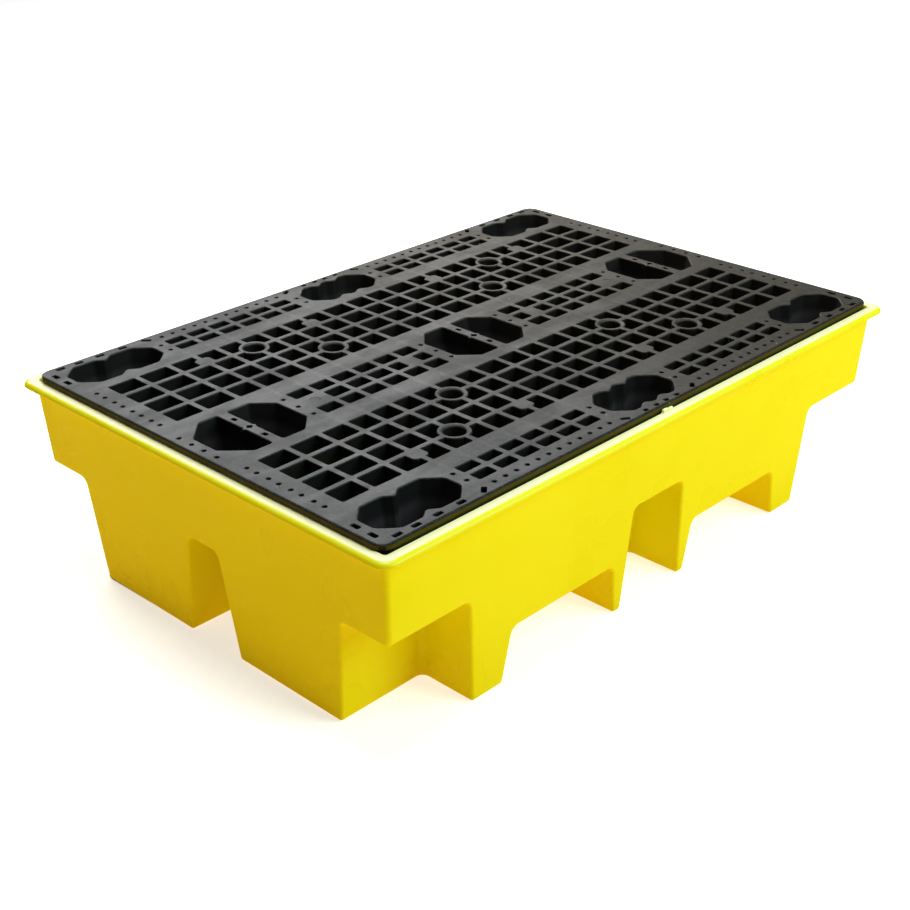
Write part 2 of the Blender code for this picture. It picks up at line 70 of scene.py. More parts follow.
# Grid of ribs, on one side of the middle
RIB = 9.6 * MM
COLUMN_WIDTHS = [39, 47] + [36.5] * 6 + [43, 53, 50]  # in millimetres
FIRST_COLUMN_EDGE = 4.2 * MM
NARROW_COLUMNS = range(2, 8)
LATTICE_ROWS = [(113.8 + 47.9 * row) * MM for row in range(4)]
LATTICE_CELL = 39 * MM
CENTRE_ROWS = [0.0, 35.9 * MM]
CENTRE_CELL = 26.7 * MM
EDGE_ROWS = [326.8 * MM, 357 * MM]
EDGE_CELL = 21 * MM
PLAIN_BANDS = [(71.7 * MM, 35 * MM), (296.9 * MM, 28 * MM)]
CELL_CORNER = 3.2 * MM
CELL_ROUNDING = 1.3 * MM
CELL_TIGHTENING = 0.35 * MM
DRAIN_RADIUS = 3.9 * MM
DRAIN_ROUNDING = 0.9 * MM
GATE_MARK = 9 * MM
GATE_MARK_DEPTH = 0.5 * MM

# Tube bosses and moulding gates
BOSS_OUTER = 26 * MM
BOSS_BORE = 17.5 * MM
BOSS_ROUNDING = 4.5 * MM
BOSS_CROSSINGS = [(3, 4, 1), (5, 6, 3)]
GATE_HALF_WIDTH = 15 * MM
GATE_HEIGHT = 26.7 * MM
GATE_CHAMFER = 5 * MM
GATE_COLUMNS = [(2, 3), (7, 8)]

# Hollow legs
POCKET_END_X = 488.5 * MM
POCKET_SIDE_Y = 343.5 * MM
POCKET_ROUNDING = 2.2 * MM
LEG_WALL = 4 * MM
LEG_FLOOR = 5 * MM
LEG_FILLET = 4 * MM
LEG_FOOT_ROUNDING = 2.5 * MM
POCKET_HALF_LENGTH = 82.5 * MM
FLOOR_HALF_LENGTH = 58 * MM
FOOT_HALF_LENGTH = 62 * MM
FOOT_SOFTNESS = 0.7  # the roundness of a leg's corners and notches at its foot, as a part of its mouth's

# Side legs: the mouth of the pocket, its floor and the foot around it
SIDE_HALF_WIDTH, SIDE_FLOOR_HALF_WIDTH, SIDE_FOOT_HALF_WIDTH = 41 * MM, 25 * MM, 29 * MM
SIDE_CHAMFER, SIDE_FLOOR_CHAMFER, SIDE_FOOT_CHAMFER = 27 * MM, 18 * MM, 19 * MM
SIDE_SOFTNESS = 14 * MM
MIDDLE_HALF_LENGTH = 77.5 * MM
ONE_NOTCH = ([0.0], 17 * MM, 10.5 * MM)  # places, half the width at the edge, and depth
TWIN_NOTCHES = ([19.5 * MM, -19.5 * MM], 16 * MM, 8 * MM)

# Legs on the long axis, each with two pockets and a divider
AXIS_HALF_WIDTH, AXIS_FLOOR_HALF_WIDTH, AXIS_FOOT_HALF_WIDTH = 66.5 * MM, 36 * MM, 40 * MM
AXIS_CHAMFER_INWARDS, AXIS_CHAMFER_OUTWARDS = 31 * MM, 39 * MM
AXIS_FLOOR_CHAMFER, AXIS_FOOT_CHAMFER = 0.56, 0.58  # as a part of the mouth's chamfer
AXIS_SOFTNESS = 9 * MM
DIVIDER_HALF, DIVIDER_FLOOR_HALF = 10 * MM, 12 * MM
DIVIDER_BUMP, DIVIDER_FLOOR_BUMP = 4.2 * MM, 0.6 * MM
DIVIDER_SLOT_PLACE = 36.5 * MM
DIVIDER_SLOT = (7 * MM, 11 * MM)
DIVIDER_DIAMOND = 6.3 * MM
DIVIDER_HOLE_ROUNDING = 0.8 * MM
DIVIDER_HOLLOW_TOP, DIVIDER_HOLLOW_FOOT = (14.6 * MM, 124 * MM), (18 * MM, 66 * MM)

# Sump
WALL = 6 * MM
RIM_TOP = 332.0 * MM
RIM_THICKNESS = 9.5 * MM
RIM_CORNER = 24 * MM
RIM_TOP_ROUNDING = Vector((11, 7)) * MM
RIM_UNDER_ROUNDING = 2 * MM
WALL_CORNER = 10 * MM
WALL_TOP_HALF = Vector((602, 412)) * MM
WALL_FLOOR_HALF = Vector((585, 393)) * MM
WALL_TOP_LEVEL = 327.5 * MM
PAD_UNDERSIDE = 184 * MM
FORK_CEILING = 92.7 * MM
CORNER_FLOOR, CORNER_CEILING = Vector((421, 289.5)) * MM, Vector((435, 309)) * MM
# The other spaces under the sump, in millimetres, each at the floor and then at its ceiling
FORK_SPANS = ((93, 355), (106, 338))
SIDE_SLOT_HALVES = (75, 62)
END_SLOT_HALVES = (59.5, 35)
PEDESTAL_HALVES = ((64, 60), (58, 41))
HOLLOW_FILLET = 12 * MM
EDGE_RADIUS = 5.5 * MM
UNDER_RIM_FILLET = 3 * MM
BASIN_FILLET = 10 * MM
BASIN_EDGE_RADIUS = 2.2 * MM
MOUTH_FLARE = 4 * MM
BEYOND = 800 * MM
OVERCUT = 20 * MM
NIB_TOP = 338 * MM
NIB_WIDTH = 5 * MM
NIB_FROM_DECK = 1.5 * MM
NIB_ROUNDING = 2.2 * MM
NIB_PEAKS = [(-6.5 * MM, 13 * MM, 0.0), (6 * MM, 12 * MM, 1.6 * MM)]  # place, length and how much lower

# Steps in the rounding of an outline's corner, of an edge, and of a whole piece's corner
ARC_STEPS = 4
ROUND_STEPS = 3
LARGE_ARC_STEPS = 10
SHARP_ANGLE = 40  # degrees: a steeper fold than this stays a sharp edge
BEVEL_ANGLE = 32  # degrees: a steeper fold than this is rounded

# Colours
BLACK_COOL = (0.005, 0.005, 0.007)
BLACK_WARM = (0.014, 0.010, 0.006)
BLACK_GREY = (0.012, 0.012, 0.012)
BLACK_SPECKLE = (0.045, 0.045, 0.045)
BLACK_INSIDE = (0.010, 0.009, 0.009)
BLACK_IN_LEGS = (0.040, 0.036, 0.038)
# Painted reflection: the yellow rim's reflection on the black deck's skirt, painted as an olive colour
PAINTED_RIM_REFLECTION = (0.060, 0.048, 0.001)
SHEEN_COOL = (0.97, 0.98, 1.0)
SHEEN_WARM = (1.0, 0.84, 0.62)
# The colour of small pale specks scattered over the deck
PALE_SPECK = (0.40, 0.38, 0.34)
YELLOW_DEEP = (0.82, 0.785, 0.003)
YELLOW_LEMON = (0.86, 0.83, 0.010)
YELLOW_PALE = (0.88, 0.86, 0.03)
# Painted highlight: the glare on the rim's top and its nibs, painted as a pale colour
PAINTED_RIM_HIGHLIGHT = (0.93, 0.92, 0.56)

# Lights: azimuth, elevation, distance, size, power in watts and colour. Azimuth 0 is +X and 90 is +Y.
LIGHTS = {
    "key": (-62, 36, 5.5, (4.1, 3.4), 200, (0.75, 1.0, 1.0)),
    "sheen": (64, 38, 5.0, (4.5, 2.6), 172, (1.0, 1.0, 1.0)),
    "overhead": (200, 90, 4.0, (1.8, 1.8), 88, (1.0, 1.0, 1.0)),
}
WORLD_COLOUR = (1.0, 0.95, 0.66)
WORLD_STRENGTH = 0.08

# The floor's own light: as the camera sees it, and as it falls on the pallet
FLOOR_GLOW = 0.6
FLOOR_FILL = 0.51
FLOOR_WARMTH = (1.0, 0.62, 0.06)
FLOOR_BOUNCE = (0.82, 0.58, 0.08)
FLOOR_HALF = 15.0
FLOOR_DROP = 0.5 * MM

# Camera
CAMERA_LENS = 59.45
CAMERA_AZIMUTH = 224.27
CAMERA_ELEVATION = 26.875
CAMERA_DISTANCE = 2.63
CAMERA_AIM = Vector((-0.0431, 0.0057, 0.1282))
CAMERA_ROLL = -0.57


# Small helpers

def linked(name, data):
    """A new object for a mesh, a light or the camera, placed in the scene."""
    made = bpy.data.objects.new(name, data)
    bpy.context.scene.collection.objects.link(made)
    return made


def quarter_turn(steps):
    """The angles from 0 to a right angle, in equal steps."""
    return [math.pi / 2 * step / steps for step in range(steps + 1)]


def swung(start, end, steps):
    """The vectors that turn from one to another of the same length, in equal steps."""
    sweep = start.angle(end)
    vectors = []
    for step in range(steps + 1):
        part = step / steps
        mixed = start * math.sin((1 - part) * sweep) + end * math.sin(part * sweep)
        vectors.append(mixed / math.sin(sweep))
    return vectors


# Outlines, as anticlockwise lists of points

def corner_arc(here, before, after, radius, steps):
    """The points that round one corner of a polygon."""
    to_before, to_after = before - here, after - here
    if radius == 0.0:
        return [here.copy()]
    half_angle = to_before.angle(to_after) / 2
    reach = min(radius / math.tan(half_angle), 0.49 * min(to_before.length, to_after.length))
    radius = reach * math.tan(half_angle)
    bisector = (to_before.normalized() + to_after.normalized()).normalized()
    centre = here + bisector * radius / math.sin(half_angle)
    start = here + to_before.normalized() * reach - centre
    end = here + to_after.normalized() * reach - centre
    return [centre + turned for turned in swung(start, end, steps)]


def rounded(corners, steps=ARC_STEPS):
    """A polygon with each corner (x, y, radius) rounded."""
    points = []
    for index, (x, y, radius) in enumerate(corners):
        before = Vector(corners[index - 1][:2])
        after = Vector(corners[(index + 1) % len(corners)][:2])
        points += corner_arc(Vector((x, y)), before, after, radius, steps)
    return points


def rectangle(left, right, low, high, radius, steps=ARC_STEPS):
    corners = [(left, low), (right, low), (right, high), (left, high)]
    return rounded([(x, y, radius) for x, y in corners], steps)


def around(x, y, width, height, radius, steps=ARC_STEPS):
    return rectangle(x - width / 2, x + width / 2, y - height / 2, y + height / 2, radius, steps)


def circle(x, y, radius, segments):
    angles = [math.tau * step / segments for step in range(segments)]
    return [Vector((x + radius * math.cos(angle), y + radius * math.sin(angle))) for angle in angles]


def grown(outline, distance):
    """The outline moved outwards by a distance, corner by corner."""
    moved = []
    for index, point in enumerate(outline):
        arriving = (point - outline[index - 1]).normalized()
        leaving = (outline[(index + 1) % len(outline)] - point).normalized()
        along = (arriving + leaving).normalized()
        outward = Vector((along.y, -along.x))
        moved.append(point + outward * distance / max(arriving.dot(along), 0.5))
    return moved


def shrunk(outline, inset):
    """The outline scaled about its middle until its box is smaller by the inset on each side."""
    xs, ys = [point.x for point in outline], [point.y for point in outline]
    middle = Vector((min(xs) + max(xs), min(ys) + max(ys))) / 2
    scale_x = 1 - 2 * inset / (max(xs) - min(xs))
    scale_y = 1 - 2 * inset / (max(ys) - min(ys))
    return [Vector((middle.x + (point.x - middle.x) * scale_x, middle.y + (point.y - middle.y) * scale_y))
            for point in outline]


def between(first, second, part):
    return [a.lerp(b, part) for a, b in zip(first, second)]


def mirrored(outline, sign_x, sign_y):
    flipped = [Vector((sign_x * point.x, sign_y * point.y)) for point in outline]
    return flipped if sign_x * sign_y > 0 else flipped[::-1]


def in_four_quarters(outlines):
    return [mirrored(outline, sx, sy) for sx in (-1, 1) for sy in (-1, 1) for outline in outlines]


def on_both_ends(outlines):
    return [mirrored(outline, sx, 1) for sx in (-1, 1) for outline in outlines]


class Shell:
    """One closed surface, gathered ring by ring. A ring is a list of point numbers."""

    def __init__(self):
        self.points = []
        self.faces = []

    def ring(self, outline, z):
        first = len(self.points)
        self.points += [(point.x, point.y, z) for point in outline]
        return list(range(first, len(self.points)))

    def wall(self, *rings):
        """Joins each ring to the next one with a band of faces."""
        for upper, lower in zip(rings, rings[1:]):
            for index, corner in enumerate(upper):
                self.faces.append((upper[index - 1], corner, lower[index], lower[index - 1]))

    def sheet(self, rim, holes=()):
        """Fills the flat face inside a rim and outside its holes."""
        numbers, loops = [], []
        for ring in (rim, *holes):
            loops.append(list(range(len(numbers), len(numbers) + len(ring))))
            numbers += ring
        flat = [Vector(self.points[number][:2]) for number in numbers]
        result = delaunay_2d_cdt(flat, [], loops, 1, 1e-7)
        triangles, origins, owners = result[2], result[3], result[5]
        for triangle, inside in zip(triangles, owners):
            if list(inside) == [0]:
                self.faces.append(tuple(numbers[origins[corner][0]] for corner in triangle))

    def build(self, name):
        mesh = bpy.data.meshes.new(name)
        mesh.from_pydata(self.points, [], self.faces)
        bm = bmesh.new()
        bm.from_mesh(mesh)
        bmesh.ops.recalc_face_normals(bm, faces=bm.faces)
        bm.to_mesh(mesh)
        bm.free()
        return linked(name, mesh)


def smooth_shading(piece):
    """Smooth rounded edges between flat faces, with true corners left sharp."""
    piece.data.shade_smooth()
    piece.data.set_sharp_from_angle(angle=math.radians(SHARP_ANGLE))
    weighted = piece.modifiers.new("weighted normals", "WEIGHTED_NORMAL")
    weighted.keep_sharp = True
    weighted.weight = 100


# Deck: where its openings lie

def column_spans():
    spans = []
    edge = FIRST_COLUMN_EDGE
    for width in COLUMN_WIDTHS:
        spans.append((edge, edge + width * MM))
        edge += width * MM + RIB
    return spans


def rib_between(inner, outer):
    spans = column_spans()
    return (spans[inner][1] + spans[outer][0]) / 2


def boss_centres():
    """Each boss of one quarter, with the four lattice cells that it bites into."""
    centres = {}
    for inner, outer, row in BOSS_CROSSINGS:
        centre = Vector((rib_between(inner, outer), (LATTICE_ROWS[row - 1] + LATTICE_ROWS[row]) / 2))
        for column in (inner, outer):
            for beside in (row - 1, row):
                centres[column, beside] = centre
    return centres


def bitten_rectangle(left, right, low, high, centre):
    """A cell with the corner nearest to a boss cut back along the boss's circle."""
    middle = Vector(((left + right) / 2, (low + high) / 2))
    corners = [Vector(place) for place in ((left, low), (right, low), (right, high), (left, high))]
    nearest = min(corners, key=lambda corner: (corner - centre).length)
    side = Vector((math.copysign(1, middle.x - centre.x), math.copysign(1, middle.y - centre.y)))
    along = math.sqrt(BOSS_OUTER ** 2 - (nearest.y - centre.y) ** 2)
    up = math.sqrt(BOSS_OUTER ** 2 - (nearest.x - centre.x) ** 2)
    on_row = Vector((centre.x + side.x * along, nearest.y))
    on_column = Vector((nearest.x, centre.y + side.y * up))
    outline = []
    for corner in corners:
        if corner is not nearest:
            outline.append((corner.x, corner.y, CELL_CORNER))
            continue
        ends = [on_row, on_column]
        if side.x * side.y > 0:
            ends.reverse()
        outline += boss_arc(centre, *ends)
    return rounded(outline)


def boss_arc(centre, start, end):
    """Corners along a boss's circle, with only the two ends rounded."""
    steps = 8
    arc = []
    for step, turned in enumerate(swung(start - centre, end - centre, steps)):
        point = centre + turned
        arc.append((point.x, point.y, CELL_ROUNDING if step in (0, steps) else 0.0))
    return arc


def gate_rectangle(left, right, low, high, rib):
    """A cell whose corner beside a gate is filled by the gate's pad."""
    pad_top = LATTICE_ROWS[3] - LATTICE_CELL / 2 - RIB / 2 + GATE_HEIGHT
    corner, soft = CELL_CORNER, 1.5 * MM
    if rib < left:
        edge = rib + GATE_HALF_WIDTH
        return rounded([(edge, low, corner), (right, low, corner), (right, high, corner),
                        (left, high, corner), (left, pad_top, soft), (edge - GATE_CHAMFER, pad_top, soft),
                        (edge, pad_top - GATE_CHAMFER, soft)])
    edge = rib - GATE_HALF_WIDTH
    return rounded([(left, low, corner), (edge, low, corner), (edge, pad_top - GATE_CHAMFER, soft),
                    (edge + GATE_CHAMFER, pad_top, soft), (right, pad_top, soft),
                    (right, high, corner), (left, high, corner)])


def lattice_cells():
    """The large cells of one quarter of the deck."""
    bosses = boss_centres()
    gates = {column: rib_between(*pair) for pair in GATE_COLUMNS for column in pair}
    cells = []
    for column, (left, right) in enumerate(column_spans()):
        for row, middle in enumerate(LATTICE_ROWS):
            low, high = middle - LATTICE_CELL / 2, middle + LATTICE_CELL / 2
            if (column, row) in bosses:
                cells.append(bitten_rectangle(left, right, low, high, bosses[column, row]))
            elif row == 3 and column in gates:
                cells.append(gate_rectangle(left, right, low, high, gates[column]))
            else:
                cells.append(rectangle(left, right, low, high, CELL_CORNER))
    return cells


def narrow_cells(rows, height):
    spans = [column_spans()[column] for column in NARROW_COLUMNS]
    return [rectangle(left, right, row - height / 2, row + height / 2, CELL_CORNER) for row in rows
            for left, right in spans]


def middle_row_cells():
    """The cells on the long axis: one is filled and two are cut short by a gate."""
    gate = rib_between(*GATE_COLUMNS[0])
    cells = []
    for column in NARROW_COLUMNS[:-1]:
        left, right = column_spans()[column]
        if right < gate < right + RIB:
            right = gate - GATE_HALF_WIDTH
        if left - RIB < gate < left:
            left = gate + GATE_HALF_WIDTH
        cells.append(rectangle(left, right, -CENTRE_CELL / 2, CENTRE_CELL / 2, CELL_CORNER))
    return cells


def drain(x, y):
    return circle(x * MM, y * MM, DRAIN_RADIUS, 14)


def slot(x, y, width, height, turn=0.0):
    outline = around(0.0, 0.0, width * MM, height * MM, 2 * MM, 3)
    turned = Matrix.Rotation(math.radians(turn), 2)
    return [turned @ point + Vector((x, y)) * MM for point in outline]


def margin_drains():
    """The small holes and slots in the plain margins of one quarter, at places in millimetres."""
    rows = [row / MM for row in LATTICE_ROWS]
    holes = [drain(576.5, row + offset) for row in rows for offset in (-11, 11)]
    holes += [drain(584.5, y) for y in (14.5, 44.9)]
    holes += [slot(584.4, y, 8, 16) for y in (338.0, 372.0)]
    holes += [drain(x, CENTRE_ROWS[1] / MM) for x in (92.0, 392.3)]
    holes += [drain(x, y) for x in (91.0, 390.5) for y in (328.3, 355.2)]
    holes += [drain(113.0 + 23.1 * step, 385.7) for step in range(12)]
    holes += [slot(x, 393.8, 15.5, 8) for x in (441.6, 486.0, 527.0, 561.8)]
    holes += [slot(x, 396.5, 10, 7) for x in (12.2, 39.0)]
    holes += [slot(394.7, 392.0, 17, 8, 42.0), slot(84.5, 393.0, 16, 7.5, -35.0)]
    return holes


def through_openings():
    """Every opening that runs straight down through the grid, with its edge rounding."""
    cells = in_four_quarters(lattice_cells())
    cells += in_four_quarters(narrow_cells(CENTRE_ROWS[1:], CENTRE_CELL))
    cells += in_four_quarters(narrow_cells(EDGE_ROWS, EDGE_CELL))
    cells += on_both_ends(middle_row_cells())
    drains = in_four_quarters(margin_drains())
    drains += on_both_ends([drain(x, 0.0) for x in (92.0, 392.3)])
    places = {tuple(centre) for centre in boss_centres().values()}
    bores = in_four_quarters([circle(x, y, BOSS_BORE, 40) for x, y in sorted(places)])
    openings = [(grown(outline, -CELL_TIGHTENING), CELL_ROUNDING) for outline in cells]
    openings += [(outline, DRAIN_ROUNDING) for outline in drains]
    openings += [(outline, BOSS_ROUNDING) for outline in bores]
    return openings


def band_hollows():
    """The hollows under the plain bands, which leave the ribs standing beneath them."""
    outlines = []
    for row, height in PLAIN_BANDS:
        outlines += [around((left + right) / 2, row, right - left, height, 2 * MM, 2)
                     for left, right in (column_spans()[column] for column in NARROW_COLUMNS)]
    return in_four_quarters(outlines)


# Deck: its hollow legs. Each outline is made at the top and again at the foot, and a slope joins them.

def notched_outline(half_length, half_width, chamfer, notches, base, depth, soft):
    """A side pocket: an octagon whose long sides dip inwards at each notch."""
    low_corner = half_width - chamfer * 0.9
    dip, dip_half = half_width - depth, 0.18 * base
    far_side = [(half_length, low_corner, soft), (half_length - chamfer, half_width, soft)]
    for place in notches:
        far_side += [(place + base, half_width, soft * 0.8), (place + dip_half, dip, soft * 0.45),
                     (place - dip_half, dip, soft * 0.45), (place - base, half_width, soft * 0.8)]
    far_side += [(chamfer - half_length, half_width, soft), (-half_length, low_corner, soft)]
    return rounded(far_side + [(-x, -y, radius) for x, y, radius in far_side])


def half_pocket(near, far, half_width, chamfer, bump, soft):
    """One side of an axis pocket, beside its divider, whose boss pushes a point into it."""
    return rounded([
        (near, -half_width, soft * 0.5), (far - chamfer, -half_width, soft),
        (far, chamfer - half_width, soft), (far, half_width - chamfer, soft),
        (far - chamfer, half_width, soft), (near, half_width, soft * 0.5),
        (near, bump, bump * 0.3), (near + bump, 0.0, bump * 0.62), (near, -bump, bump * 0.3)])


def octagon(half_length, half_width, chamfer_left, chamfer_right, soft):
    return rounded([
        (half_length - chamfer_right, -half_width, soft), (half_length, chamfer_right - half_width, soft),
        (half_length, half_width - chamfer_right, soft), (half_length - chamfer_right, half_width, soft),
        (chamfer_left - half_length, half_width, soft), (-half_length, half_width - chamfer_left, soft),
        (-half_length, chamfer_left - half_width, soft), (chamfer_left - half_length, -half_width, soft)])


def moved(outline, centre):
    return [point + centre for point in outline]


def rounded_mouth(shell, outline, rounding):
    """The rounded edge of an opening in the top face, as rings from the face down."""
    rings = []
    for angle in quarter_turn(ROUND_STEPS):
        level = DECK_TOP - rounding * (1 - math.cos(angle))
        rings.append(shell.ring(grown(outline, rounding * (1 - math.sin(angle))), level))
    return rings


def add_pocket(shell, top, floor, centre):
    """A tapered pocket with a rounded mouth and a filleted floor; returns its ring in the top face."""
    top, floor = moved(top, centre), moved(floor, centre)
    floor_level = FOOT_LEVEL + LEG_FLOOR
    rings = rounded_mouth(shell, top, POCKET_ROUNDING)
    for angle in quarter_turn(ROUND_STEPS):
        level = floor_level + LEG_FILLET * (1 - math.sin(angle))
        rings.append(shell.ring(shrunk(floor, LEG_FILLET * (1 - math.cos(angle))), level))
    shell.wall(*rings)
    shell.sheet(rings[-1])
    return rings[0]


def add_casing(shell, top, foot, centre, slot_ring=None):
    """The outside of a leg; returns its ring in the underside of the grid."""
    top, foot = moved(top, centre), moved(foot, centre)
    sunk = RIB_DEPTH / (DECK_TOP - FOOT_LEVEL)
    rings = [shell.ring(between(top, foot, sunk), UNDERSIDE)]
    for angle in quarter_turn(ROUND_STEPS):
        level = FOOT_LEVEL + LEG_FOOT_ROUNDING * (1 - math.sin(angle))
        rings.append(shell.ring(shrunk(foot, LEG_FOOT_ROUNDING * (1 - math.cos(angle))), level))
    shell.wall(*rings)
    shell.sheet(rings[-1], [slot_ring] if slot_ring else [])
    return rings[0]


def add_side_leg(shell, centre, half_length, notches, base, depth):
    """A leg beside a long edge; returns its pocket's ring in a list, and its casing's ring."""
    top = notched_outline(half_length, SIDE_HALF_WIDTH, SIDE_CHAMFER, notches, base, depth, SIDE_SOFTNESS)
    casing = notched_outline(half_length + LEG_WALL, SIDE_HALF_WIDTH + LEG_WALL, SIDE_CHAMFER + 1 * MM,
                             notches, base, depth, SIDE_SOFTNESS)
    shrink = FLOOR_HALF_LENGTH / POCKET_HALF_LENGTH
    below = ([place * shrink for place in notches], base * shrink, depth * FOOT_SOFTNESS,
             SIDE_SOFTNESS * FOOT_SOFTNESS)
    floor = notched_outline(FLOOR_HALF_LENGTH, SIDE_FLOOR_HALF_WIDTH, SIDE_FLOOR_CHAMFER, *below)
    foot = notched_outline(FOOT_HALF_LENGTH, SIDE_FOOT_HALF_WIDTH, SIDE_FOOT_CHAMFER, *below)
    return [add_pocket(shell, top, floor, centre)], add_casing(shell, casing, foot, centre)


def add_axis_leg(shell, centre, chamfer_left, chamfer_right):
    """A leg on the long axis, with a hollow divider between its two pockets."""
    foot_soft = AXIS_SOFTNESS * FOOT_SOFTNESS
    mouths = []
    for sign, chamfer in ((-1, chamfer_left), (1, chamfer_right)):
        top = half_pocket(DIVIDER_HALF, POCKET_HALF_LENGTH, AXIS_HALF_WIDTH, chamfer, DIVIDER_BUMP,
                          AXIS_SOFTNESS)
        floor = half_pocket(DIVIDER_FLOOR_HALF, FLOOR_HALF_LENGTH, AXIS_FLOOR_HALF_WIDTH,
                            chamfer * AXIS_FLOOR_CHAMFER, DIVIDER_FLOOR_BUMP, foot_soft)
        mouths.append(add_pocket(shell, mirrored(top, sign, 1), mirrored(floor, sign, 1), centre))
    slot_ring = add_divider_hollow(shell, centre, mouths)
    casing = octagon(POCKET_HALF_LENGTH + LEG_WALL, AXIS_HALF_WIDTH + LEG_WALL, chamfer_left, chamfer_right,
                     AXIS_SOFTNESS)
    foot = octagon(FOOT_HALF_LENGTH, AXIS_FOOT_HALF_WIDTH, chamfer_left * AXIS_FOOT_CHAMFER,
                   chamfer_right * AXIS_FOOT_CHAMFER, foot_soft)
    return mouths, add_casing(shell, casing, foot, centre, slot_ring)


def divider_holes():
    """The two slots and the diamond in a divider's top."""
    holes = [around(0.0, side * DIVIDER_SLOT_PLACE, *DIVIDER_SLOT, 1.5 * MM, 3) for side in (-1, 1)]
    points = [(DIVIDER_DIAMOND, 0), (0, DIVIDER_DIAMOND), (-DIVIDER_DIAMOND, 0), (0, -DIVIDER_DIAMOND)]
    holes.append(rounded([(x, y, 1 * MM) for x, y in points], 2))
    return holes


def add_divider_hollow(shell, centre, mouths):
    """The divider's three holes and the hollow beneath them; returns its ring in the foot."""
    ceiling_level = DECK_TOP - PLATE
    exits = []
    for hole in divider_holes():
        rings = rounded_mouth(shell, moved(hole, centre), DIVIDER_HOLE_ROUNDING)
        rings.append(shell.ring(moved(hole, centre), ceiling_level))
        shell.wall(*rings)
        mouths.append(rings[0])
        exits.append(rings[-1])
    ceiling = shell.ring(moved(around(0.0, 0.0, *DIVIDER_HOLLOW_TOP, 3 * MM), centre), ceiling_level)
    slot_ring = shell.ring(moved(around(0.0, 0.0, *DIVIDER_HOLLOW_FOOT, 3 * MM), centre), FOOT_LEVEL)
    shell.sheet(ceiling, exits)
    shell.wall(ceiling, slot_ring)
    return slot_ring


def add_gate_mark(shell, side):
    """The round dimple in the filled cell on the long axis; returns its ring in the top face."""
    left, right = column_spans()[NARROW_COLUMNS[-1]]
    rings = rounded_mouth(shell, circle(side * (left + right) / 2, 0.0, GATE_MARK, 28), GATE_MARK_DEPTH)
    shell.wall(*rings)
    shell.sheet(rings[-1])
    return rings[0]


def add_legs(shell):
    """All nine legs; returns their rings in the top face and in the underside."""
    legs = []
    for side in (-1, 1):
        for end in (-1, 1):
            centre = Vector((end * POCKET_END_X, side * POCKET_SIDE_Y))
            legs.append(add_side_leg(shell, centre, POCKET_HALF_LENGTH, *ONE_NOTCH))
        centre = Vector((0.0, side * POCKET_SIDE_Y))
        legs.append(add_side_leg(shell, centre, MIDDLE_HALF_LENGTH, *TWIN_NOTCHES))
    inner, outer = AXIS_CHAMFER_INWARDS, AXIS_CHAMFER_OUTWARDS
    legs.append(add_axis_leg(shell, Vector((-POCKET_END_X, 0.0)), outer, inner))
    legs.append(add_axis_leg(shell, Vector((0.0, 0.0)), inner, inner))
    legs.append(add_axis_leg(shell, Vector((POCKET_END_X, 0.0)), inner, outer))
    return [mouth for mouths, casing in legs for mouth in mouths], [casing for mouths, casing in legs]


def build_deck():
    shell = Shell()
    in_top, in_underside = add_legs(shell)
    in_top += [add_gate_mark(shell, side) for side in (-1, 1)]
    for outline, rounding in through_openings():
        rings = rounded_mouth(shell, outline, rounding)
        rings.append(shell.ring(outline, UNDERSIDE))
        shell.wall(*rings)
        in_top.append(rings[0])
        in_underside.append(rings[-1])
    for outline in band_hollows():
        rings = [shell.ring(outline, UNDERSIDE), shell.ring(grown(outline, -0.5 * MM), DECK_TOP - PLATE)]
        shell.wall(*rings)
        shell.sheet(rings[-1])
        in_underside.append(rings[0])
    add_deck_edge(shell, in_top, in_underside)
    deck = shell.build("grating_deck")
    smooth_shading(deck)
    return deck


def add_deck_edge(shell, in_top, in_underside):
    """The top and bottom faces, and between them the rounded skirt and the step up to the grid."""
    half = (DECK_HIGH - DECK_LOW) / 2
    outline = rectangle(-half.x, half.x, -half.y, half.y, DECK_CORNER, LARGE_ARC_STEPS)
    rings = []
    for angle in quarter_turn(ROUND_STEPS + 1):
        level = DECK_TOP - DECK_EDGE_ROUNDING * (1 - math.cos(angle))
        rings.append(shell.ring(grown(outline, -DECK_EDGE_ROUNDING * (1 - math.sin(angle))), level))
    bottom, soft = DECK_TOP - DECK_SKIRT, 0.8 * MM
    rings.append(shell.ring(outline, bottom + soft))
    rings.append(shell.ring(grown(outline, -soft), bottom))
    grid = rectangle(-GRID_HALF.x, GRID_HALF.x, -GRID_HALF.y, GRID_HALF.y, GRID_CORNER, LARGE_ARC_STEPS)
    rings.append(shell.ring(grid, bottom))
    rings.append(shell.ring(grid, UNDERSIDE))
    shell.wall(*rings)
    shell.sheet(rings[0], in_top)
    shell.sheet(rings[-1], in_underside)


# Sump

def sump_half(level):
    """Half the length and half the width of the outer wall at a height."""
    return WALL_FLOOR_HALF.lerp(WALL_TOP_HALF, level / WALL_TOP_LEVEL)


def sump_outline(half, corner):
    return rectangle(-half.x, half.x, -half.y, half.y, corner, LARGE_ARC_STEPS)


